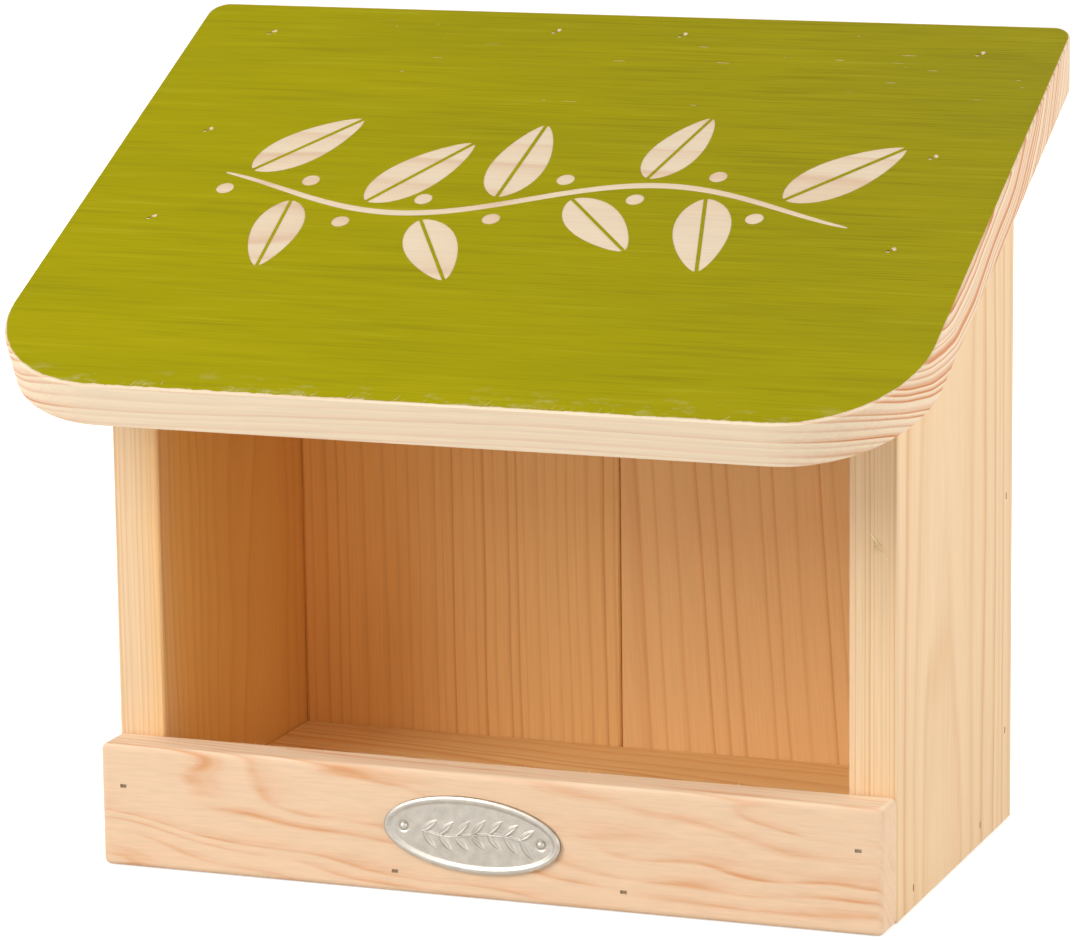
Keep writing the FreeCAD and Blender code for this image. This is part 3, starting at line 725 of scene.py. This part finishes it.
def brushed_paint(name, main, thick, thin, bare, front, start):
    """Water-based outdoor paint, one brushed coat: satin to matt, streaked along the wood's fibres.

    front is where the board's front edge lies on the axis up the roof, and start is the corner towards which
    the paint is darker, along the roof and up it, all in mm.
    """
    material, tree, surface = new_material(name)
    place = add(tree, "TexCoord")
    board = add(tree, "Mapping", {
        "Vector": place.outputs["Object"], "Scale": (1 / MM, 1 / MM, 1 / MM), "Rotation": DOWN_ROOF})
    drag = streaks(tree, board, (55, 2.6, FLAT), 2.0)
    hair = streaks(tree, board, (45, 0.65, FLAT), 2.0)
    # How far from the rear right corner: the paint is darker and its hairlines stronger there.
    flat = add(tree, "VectorMath.MULTIPLY", [board, (1, 1, 0)])
    brushed = add(tree, "VectorMath.DISTANCE", [flat, (*start, 0)])
    full = add(tree, "MapRange", [brushed.outputs["Value"], CORNER_DARK_ENDS, CORNER_DARK_FULL])
    tone = paint_tone(tree, board, drag, hair, full, main, thick, thin)
    tone = dry_brush(tree, board, tone, bare, front)
    tone = add(tree, "VectorMath.SCALE", {0: tone, "Scale": dark_pores(tree, drag, hair, full)})
    tree.links.new(tone.outputs["Vector"], surface["Base Color"])
    grain = add(tree, "Math.ADD", [drag, hair])
    bump = add(tree, "Bump", {"Strength": 0.5, "Distance": BRUSH_RELIEF, "Height": grain})
    tree.links.new(bump.outputs["Normal"], surface["Normal"])
    gloss = add(tree, "MapRange", [drag, 0.0, 1.0, 0.5, 0.68])
    tree.links.new(gloss.outputs[0], surface["Roughness"])
    surface["Specular IOR Level"].default_value = 0.07
    return material


# The rear right corner, towards which the paint is darker.
rear_right = (ROOF_WIDTH / 2 / MM, front_line + ROOF_LENGTH / MM)
olive_paint = brushed_paint(
    "brushed_olive_paint", main="#B0A500", thick="#A79E00", thin="#C4BA2E", bare="#D8CF98",
    front=front_line, start=rear_right)
print("the brush started at", [round(v, 1) for v in rear_right], "mm")

# %% Grow the film on the roof
roof_paint = grow("roof_paint", stencilled_film, roof_nails, {
    "Width": ROOF_WIDTH, "Length": ROOF_LENGTH, "Front round": FRONT_ROUND, "Rear round": REAR_ROUND,
    "Side inset": 0.5 * MM, "Front inset": 0.9 * MM, "Rear inset": 0.9 * MM, "Ragged": 1.5 * MM,
    "Film": 0.1 * MM, "Soaked": 0.15 * MM,
    "Stem reach": 102 * MM, "Stem width": 3.0 * MM, "Wave height": 10 * MM, "Wave length": 160 * MM,
    "Leaves": 9, "Leaf length": 38 * MM, "Leaf width": 16 * MM, "Leaf angle": 1.15, "Rib": 1.1 * MM,
    "Bridge": 4.6 * MM, "Berry": 2.8 * MM,
    "Dent": 0.65 * MM, "Chip": 0.8 * MM, "Scratches": 36, "Seed": 4, "Paint": olive_paint})
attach(roof_paint, "root")

# %% [markdown]
# ## The oval plate
# The plate is cast: a soft raised rim, a sunk field and a shallow relief. Here the relief is a plain leaf
# spray. The plate is a round grid stretched to an oval, and each point is lifted by what lies under it: the
# rim, the nearest leaf or stem, and the small dish round each pin. Soft edges come from the casting, so they
# are in the mesh.
#
# First come points along every leaf's middle and along the stem, each with the half width that it has there.

# %% The plate's sizes and the middle of a leaf
LEAF_POINTS = 60
tree, size = new_tree("cast_plate", {
    "Length": float, "Height": float, "Thickness": float, "Recess": float, "Rim": float, "Sprays": int,
    "Spray reach": float, "Leaf length": float, "Leaf width": float, "Leaf angle": float, "Relief": float,
    "Pin spacing": float, "Dish": float, "Pitting": float, "Place": tuple, "Tilt": float, "Metal": str})
here = add(tree, "InputPosition")
xyz = add(tree, "SeparateXYZ", [here])
number = add(tree, "InputIndex")
pace = add(tree, "Math.DIVIDE", [size["Leaf length"], LEAF_POINTS - 1])
rib = add(tree, "MeshLine", {
    "Count": LEAF_POINTS, "Offset": add(tree, "CombineXYZ", [pace])},
    mode="OFFSET", count_mode="TOTAL")
belly = add(tree, "Math.MULTIPLY", [number, math.pi / (LEAF_POINTS - 1)])
belly = add(tree, "Math.SINE", [belly])
belly = add(tree, "Math.POWER", [belly, 0.8])
belly = add(tree, "Math.MULTIPLY", [belly, size["Leaf width"]])
belly = add(tree, "Math.MULTIPLY", [belly, 0.5])
rib = add(tree, "StoreNamedAttribute", {"Geometry": rib, "Name": "half", "Value": belly},
          data_type="FLOAT", domain="POINT")
print("middle of a leaf:", LEAF_POINTS, "points")

# %% The spray of leaves
STALK_POINTS, STALK_HALF = 300, 0.35 * MM
BOWS_PER_METRE, BOW = 170.0, 1.2 * MM
reach = add(tree, "CombineXYZ", [size["Spray reach"]])
back = add(tree, "VectorMath.SCALE", {0: reach, "Scale": -1.0})
spray = []
for side in (1, -1):
    buds = add(tree, "MeshLine", {
        "Count": size["Sprays"], "Start Location": back, "Offset": reach},
        mode="END_POINTS", count_mode="TOTAL")
    lean = add(tree, "Math.MULTIPLY", [size["Leaf angle"], side])
    spray.append(add(tree, "InstanceOnPoints", {
        "Points": buds, "Instance": rib, "Rotation": add(tree, "CombineXYZ", {2: lean})}))
stalk = add(tree, "MeshLine", {"Count": STALK_POINTS, "Start Location": back, "Offset": reach},
            mode="END_POINTS", count_mode="TOTAL")
stalk = add(tree, "StoreNamedAttribute", {"Geometry": stalk, "Name": "half", "Value": STALK_HALF},
            data_type="FLOAT", domain="POINT")
spray = add(tree, "JoinGeometry", {"Geometry": spray + [stalk]})
spray = add(tree, "RealizeInstances", {"Geometry": spray})
bow = add(tree, "Math.MULTIPLY", [xyz.outputs["X"], BOWS_PER_METRE])
bow = add(tree, "Math.SINE", [bow])
bow = add(tree, "Math.MULTIPLY", [bow, BOW])
spray = add(tree, "SetPosition", {"Geometry": spray, "Offset": add(tree, "CombineXYZ", {1: bow})})
print("spray:", len(tree.nodes), "nodes so far")

# %% [markdown]
# The grid's first axis runs from the plate's middle to its edge and down it, and its second once round the
# oval. How far a point is from the oval's edge is measured square to it.

# %% A grid stretched to an oval
RINGS, SPOKES = 110, 361
FACE = 0.96  # the share of the first axis that is the face; the rest goes down the edge
grid = add(tree, "MeshGrid", {"Size X": 1.0, "Size Y": 1.0, "Vertices X": RINGS, "Vertices Y": SPOKES})
outward = add(tree, "Math.ADD", [xyz.outputs["X"], 0.5])
flat = add(tree, "MapRange", [outward, 0.0, FACE])
drop = add(tree, "MapRange", [outward, FACE])
angle = add(tree, "Math.MULTIPLY", [xyz.outputs["Y"], math.tau])
cosine = add(tree, "Math.COSINE", [angle])
sine = add(tree, "Math.SINE", [angle])
long_half = add(tree, "Math.MULTIPLY", [size["Length"], 0.5])
short_half = add(tree, "Math.MULTIPLY", [size["Height"], 0.5])
ex = add(tree, "Math.MULTIPLY", [flat, cosine])
ex = add(tree, "Math.MULTIPLY", [ex, long_half])
ey = add(tree, "Math.MULTIPLY", [flat, sine])
ey = add(tree, "Math.MULTIPLY", [ey, short_half])
steep = add(tree, "Math.DIVIDE", [cosine, long_half])
steep = add(tree, "Math.MULTIPLY", [steep, steep])
other = add(tree, "Math.DIVIDE", [sine, short_half])
steep = add(tree, "Math.MULTIPLY_ADD", [other, other, steep])
steep = add(tree, "Math.SQRT", [steep])
inward = add(tree, "Math.SUBTRACT", [1.0, flat])
inward = add(tree, "Math.DIVIDE", [inward, steep])
print("grid:", RINGS, "by", SPOKES, "points")

# %% [markdown]
# The rim is a rounded bead, high in its middle and falling to the field and to the outer edge. On the field
# the nearest point of a leaf or the stalk lifts what lies within its half width, and a vein runs along it.

# %% Rim
SOFT_EDGE = 0.8 * MM
rim_foot = add(tree, "Math.MULTIPLY", [size["Rim"], 1.25])
rim_top = add(tree, "Math.MULTIPLY", [size["Rim"], 0.6])
rim = add(tree, "MapRange", [inward, rim_foot, rim_top], interpolation_type="SMOOTHSTEP")
outer = add(tree, "MapRange", [inward, 0.0, SOFT_EDGE, 0.45], interpolation_type="SMOOTHERSTEP")
lift = add(tree, "Math.MULTIPLY", [rim, outer])
lift = add(tree, "Math.MULTIPLY", [lift, size["Recess"]])
print("rim:", len(tree.nodes), "nodes so far")

# %% Relief
THINNEST = 0.2 * MM
field = add(tree, "CombineXYZ", [ex, ey])
close = add(tree, "SampleNearest", {"Geometry": spray, "Sample Position": field}, domain="POINT")
spot = add(tree, "SampleIndex", {"Geometry": spray, "Value": here, "Index": close},
           data_type="FLOAT_VECTOR", domain="POINT")
wide = add(tree, "InputNamedAttribute", {"Name": "half"}, data_type="FLOAT")
wide = add(tree, "SampleIndex", {"Geometry": spray, "Value": wide.outputs[0], "Index": close},
           data_type="FLOAT", domain="POINT")
wide = add(tree, "Math.MAXIMUM", [wide, THINNEST])
far = add(tree, "VectorMath.DISTANCE", [field, spot])
far = add(tree, "Math.DIVIDE", [far.outputs["Value"], wide])
dome = add(tree, "MapRange", [far, 1.15, 0.55], interpolation_type="SMOOTHSTEP")
vein = add(tree, "MapRange", [far, 0.0, 0.3, 0.6], interpolation_type="SMOOTHSTEP")
dome = add(tree, "Math.MULTIPLY", [dome, vein])
lift = add(tree, "Math.MULTIPLY_ADD", [dome, size["Relief"], lift])
print("relief:", len(tree.nodes), "nodes so far")

# %% Dishes pressed round the two pins, and the skin left by the mould
DISH_DEPTH, SKIN_PER_METRE = 0.3 * MM, 420.0
mirror = add(tree, "Math.ABSOLUTE", [ex])
mirror = add(tree, "CombineXYZ", [mirror, ey])
pin = add(tree, "Math.MULTIPLY", [size["Pin spacing"], 0.5])
pin = add(tree, "CombineXYZ", [pin])
dish = add(tree, "VectorMath.DISTANCE", [mirror, pin])
dish = add(tree, "Math.DIVIDE", [dish.outputs["Value"], size["Dish"]])
dish = add(tree, "MapRange", [dish, 1.1, 0.75, 0.0, -DISH_DEPTH], interpolation_type="SMOOTHSTEP")
lift = add(tree, "Math.ADD", [lift, dish])
skin = add(tree, "TexNoise", {"Vector": field, "Scale": SKIN_PER_METRE, "Detail": 3.0})
skin = add(tree, "Math.SUBTRACT", [skin.outputs["Fac"], 0.5])
lift = add(tree, "Math.MULTIPLY_ADD", [skin, size["Pitting"], lift])
field_level = add(tree, "Math.SUBTRACT", [size["Thickness"], size["Recess"]])
lift = add(tree, "Math.ADD", [lift, field_level])
stay = add(tree, "Math.SUBTRACT", [1.0, drop])
lift = add(tree, "Math.MULTIPLY", [lift, stay])
print("dishes and skin:", len(tree.nodes), "nodes so far")

# %% Close the back and stand the plate up
plate = add(tree, "SetPosition", {
    "Geometry": grid.outputs["Mesh"], "Position": add(tree, "CombineXYZ", [ex, ey, lift])})
cap = add(tree, "MeshCircle", {"Vertices": SPOKES - 1, "Radius": 1.0}, fill_type="NGON")
cap = add(tree, "Transform", {
    "Geometry": cap, "Rotation": (math.pi, 0, 0),
    "Scale": add(tree, "CombineXYZ", [long_half, short_half, 1.0])})
plate = add(tree, "JoinGeometry", {"Geometry": [plate, cap]})
plate = add(tree, "MergeByDistance", {"Geometry": plate, "Distance": 0.004 * MM})
plate = add(tree, "SetShadeSmooth", {"Geometry": plate, "Shade Smooth": True})
stand = add(tree, "CombineXYZ", [math.pi / 2, size["Tilt"]])
plate = add(tree, "Transform", {"Geometry": plate, "Translation": size["Place"], "Rotation": stand})
plate = add(tree, "RealizeInstances", {"Geometry": plate})
plate = add(tree, "SetMaterial", {"Geometry": plate, "Material": size["Metal"]})
add(tree, "GroupOutput", {"Geometry": plate})
cast_plate = tree
print("the whole plate:", len(tree.nodes), "nodes")

# %% Cast the plate between its pins
pin_points = [v.co for v in nodes["plate_pins"].data.vertices]
middle = sum(pin_points, Vector()) / len(pin_points)
pin_ends = [sum(side, Vector()) / len(side) for side in (
    [v for v in pin_points if v.x < middle.x], [v for v in pin_points if v.x > middle.x])]
pin_line = pin_ends[1] - pin_ends[0]
tilt = math.atan2(pin_line.z, pin_line.x)
plate_middle = (pin_ends[0] + pin_ends[1]) / 2
plate_middle.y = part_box("oval_plate")[1].y
oval = grow("oval_plate_cast", cast_plate, [], {
    "Length": 56.5 * MM, "Height": 23.2 * MM, "Thickness": 1.6 * MM, "Recess": 0.6 * MM, "Rim": 2.0 * MM,
    "Sprays": 7, "Spray reach": 15.5 * MM, "Leaf length": 6.0 * MM, "Leaf width": 2.1 * MM, "Leaf angle": 0.8,
    "Relief": 0.44 * MM, "Pin spacing": pin_line.length, "Dish": 1.85 * MM, "Pitting": 0.08 * MM,
    "Place": plate_middle, "Tilt": -tilt, "Metal": cast_metal})
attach(oval, "root")
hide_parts("oval_plate")
print("plate turned by", round(math.degrees(tilt), 2), "degrees")

# %% [markdown]
# ## Torn fibres
# Sawn and planed pine is never quite clean at its edges: thin fibres stand up along the roof's painted front
# edge and along the inner edge of the front board, and one spot on the right side has torn. A short tapered
# blade is scattered along a line, each copy with its own length and turn. Real fibres are finer than a hair.
# These are as thick as they need to be to show in the picture.

# %% One blade
tree, size = new_tree("torn_fibres", {
    "From": tuple, "To": tuple, "Jitter": tuple, "Turn low": tuple, "Turn high": tuple, "Count": int,
    "Length": float, "Thickness": float, "Seed": int, "Wood": str})
blade = add(tree, "CurveQuadraticBezier", {
    "Resolution": 5, "Start": (0, 0, 0), "Middle": (0.6, 0.0, 0.02), "End": (1.0, 0.12, 0.28)})
long = add(tree, "CombineXYZ", [size["Length"]] * 3)
blade = add(tree, "Transform", {"Geometry": blade, "Scale": long})
taper = add(tree, "SplineParameter")
taper = add(tree, "MapRange", [taper.outputs["Factor"], 0.0, 1.0, 1.0, 0.15])
half = add(tree, "Math.MULTIPLY", [size["Thickness"], 0.5])
profile = add(tree, "CurvePrimitiveCircle", {"Resolution": 3, "Radius": half})
blade = add(tree, "CurveToMesh", {
    "Curve": blade, "Profile Curve": profile, "Scale": taper, "Fill Caps": True})
print("blade:", len(tree.nodes), "nodes so far")

# %% Blades along a line
chance = add(tree, "RandomValue", {2: 0.0, 3: 1.0, "Seed": size["Seed"]}, data_type="FLOAT")
spot = add(tree, "Mix", {0: chance.outputs[1], 4: size["From"], 5: size["To"]}, data_type="VECTOR")
back = add(tree, "VectorMath.SCALE", {0: size["Jitter"], "Scale": -1.0})
next_seed = add(tree, "Math.ADD", [size["Seed"], 1.0])
jump = add(tree, "RandomValue", {0: back, 1: size["Jitter"], "Seed": next_seed}, data_type="FLOAT_VECTOR")
spot = add(tree, "VectorMath.ADD", [spot.outputs[1], jump])
points = add(tree, "Points", {"Count": size["Count"], "Position": spot})
bend = add(tree, "RandomValue", {0: size["Turn low"], 1: size["Turn high"], "Seed": 21},
           data_type="FLOAT_VECTOR")
grown = add(tree, "RandomValue", {2: 0.35, 3: 1.0, "Seed": 33}, data_type="FLOAT")
fibres = add(tree, "InstanceOnPoints", {
    "Points": points, "Instance": blade, "Rotation": bend, "Scale": grown.outputs[1]})
fibres = add(tree, "RealizeInstances", {"Geometry": fibres})
fibres = add(tree, "SetShadeSmooth", {"Geometry": fibres, "Shade Smooth": False})
fibres = add(tree, "SetMaterial", {"Geometry": fibres, "Material": size["Wood"]})
add(tree, "GroupOutput", {"Geometry": fibres})
torn_fibres = tree
print("fibres:", len(tree.nodes), "nodes")

# %% Where wood has torn
front_edge = roof_middle - up_roof * (ROOF_LENGTH / 2 - 1.2 * MM) + Vector((0, 0, 0.1 * MM))
board_low, board_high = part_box("front_board")
inner_edge = Vector((0, board_high.y - 0.4 * MM, board_high.z - 0.7 * MM))
side_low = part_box("side_right")[0]
side_front = Vector((side_low.x, side_low.y - 0.02 * MM, 0))
TORN = {
    "fibres_roof_front": {
        "From": front_edge - Vector((103 * MM, 0, 0)), "To": front_edge + Vector((100 * MM, 0, 0)),
        "Jitter": (0, 0.6 * MM, 0), "Turn low": (-0.6, -0.5, -0.6), "Turn high": (0.6, 0.1, 0.9),
        "Count": 34, "Length": 3.0 * MM, "Thickness": 0.16 * MM, "Seed": 2},
    "fibres_front_board": {
        "From": inner_edge + Vector((board_low.x + 20 * MM, 0, 0)),
        "To": inner_edge + Vector((board_high.x - 12 * MM, 0, 0)),
        "Jitter": (0, 0.2 * MM, 0.2 * MM), "Turn low": (-0.5, -1.1, -0.5), "Turn high": (0.5, 0.1, 0.5),
        "Count": 90, "Length": 1.3 * MM, "Thickness": 0.26 * MM, "Seed": 6},
    "fibres_side_right": {
        "From": side_front + Vector((7.0, 0, 117.0)) * MM, "To": side_front + Vector((10.5, 0, 111.0)) * MM,
        "Jitter": (0.5 * MM, 0, 1.2 * MM), "Turn low": (1.2, 0.7, -0.2), "Turn high": (1.9, 2.0, 0.2),
        "Count": 9, "Length": 5.5 * MM, "Thickness": 0.8 * MM, "Seed": 9},
}
print("torn places:", len(TORN))

# %% Scatter the fibres
torn_pine = planed_pine("torn_pine_fibre", grain=(0, 0, 0), heart=(60, 60), ring=9.0, spring="#FBEED2",
                        summer="#F0D9A6", seed=5.0)
for name, spread in TORN.items():
    fibres = grow(name, torn_fibres, [], {**spread, "Wood": torn_pine})
    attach(fibres, "root")

# %% [markdown]
# ## Floor, backdrop and light
# A packshot stands on a white sweep. The floor is pale and keeps a soft shadow; to the camera, and in
# reflections, the surroundings show as plain white. The floor's glow grows away from the part, where no
# shadow falls.

# %% White sweep
scene.view_settings.view_transform = "Standard"
SHADOW_ENDS = (0.2, 0.6)  # metres from the part's middle: still in shadow, and clear of it


def seen_directly(tree):
    """1 for what the camera sees, plainly or in a reflection, and 0 for light on its way."""
    path = add(tree, "LightPath").outputs
    seen = add(tree, "Math.MAXIMUM", [path["Is Camera Ray"], path["Is Glossy Ray"]])
    return add(tree, "Math.MAXIMUM", [seen, path["Is Transmission Ray"]])


paper, tree, sheet = new_material("white_paper_sweep")
sheet["Base Color"].default_value = srgb("#D8D8D6")
sheet["Roughness"].default_value = 0.9
sheet["Emission Color"].default_value = (1, 1, 1, 1)
spot = add(tree, "TexCoord")
away = add(tree, "VectorMath.LENGTH", [spot.outputs["Object"]])
bright = add(tree, "MapRange", [away.outputs["Value"], *SHADOW_ENDS, 0.6], interpolation_type="SMOOTHSTEP")
glow = add(tree, "Math.MULTIPLY", [seen_directly(tree), bright])
tree.links.new(glow.outputs[0], sheet["Emission Strength"])
print("paper:", len(tree.nodes), "nodes")

# %% The floor
FLOOR_HALF, FLOOR_DROP = 3, 0.2 * MM
floor_mesh = bpy.data.meshes.new("floor")
corners = [(x * FLOOR_HALF, y * FLOOR_HALF, 0) for x, y in ((-1, -1), (1, -1), (1, 1), (-1, 1))]
floor_mesh.from_pydata(corners, [], [(0, 1, 2, 3)])
floor_mesh.materials.append(paper)
floor = bpy.data.objects.new("floor", floor_mesh)
floor.location.z = -FLOOR_DROP
scene.collection.objects.link(floor)
print("floor", 2 * FLOOR_HALF, "m wide")

# %% What surrounds it
AMBIENT = 0.045
world = bpy.data.worlds.new("studio")
scene.world = world
world.use_nodes = True
tree = world.node_tree
level = add(tree, "MapRange", [seen_directly(tree), 0.0, 1.0, AMBIENT])
tree.nodes["Background"].inputs["Color"].default_value = (1, 1, 1, 1)
tree.links.new(level.outputs[0], tree.nodes["Background"].inputs["Strength"])
print("light from all round:", AMBIENT)

# %% [markdown]
# Big soft boxes stand at the front left and in front, high and low, and at the right. Others at the left and
# behind keep those sides readable. Light gets into the deep box only under the roof's front edge, so its
# boards light each other, which makes the wood glow a warm orange there; the deeper colours of the inner
# boards add painted shade to it.

# %% Soft boxes
LIGHTS = {  # turn from the front and height in degrees, size in metres, watts
    "key_high": (-35, 31, 1.0, 18.6),
    "key_low": (-35, 12, 0.9, 4.8),
    "front_high": (0, 43, 0.9, 3.6),
    "front_low": (5, 9, 0.9, 1.9),
    "right": (95, 17, 1.0, 14.2),
    "right_front": (60, 12, 0.9, 6.0),
    "left": (-105, 20, 1.0, 6.0),
    "rear": (175, 32, 1.0, 15.0),
}
LIT_POINT = Vector((0, 0, 0.12))
LAMP_DISTANCE = 1.8
for name, (turn, rise, width, watts) in LIGHTS.items():
    turn, rise = math.radians(turn), math.radians(rise)
    away = Vector((math.sin(turn) * math.cos(rise), -math.cos(turn) * math.cos(rise), math.sin(rise)))
    lamp = bpy.data.lights.new(name, "AREA")
    lamp.size, lamp.energy = width, watts
    light = bpy.data.objects.new(name, lamp)
    scene.collection.objects.link(light)
    light.location = LIT_POINT + LAMP_DISTANCE * away
    light.rotation_euler = (-away).to_track_quat("-Z", "Y").to_euler()
print("lights:", ", ".join(LIGHTS))
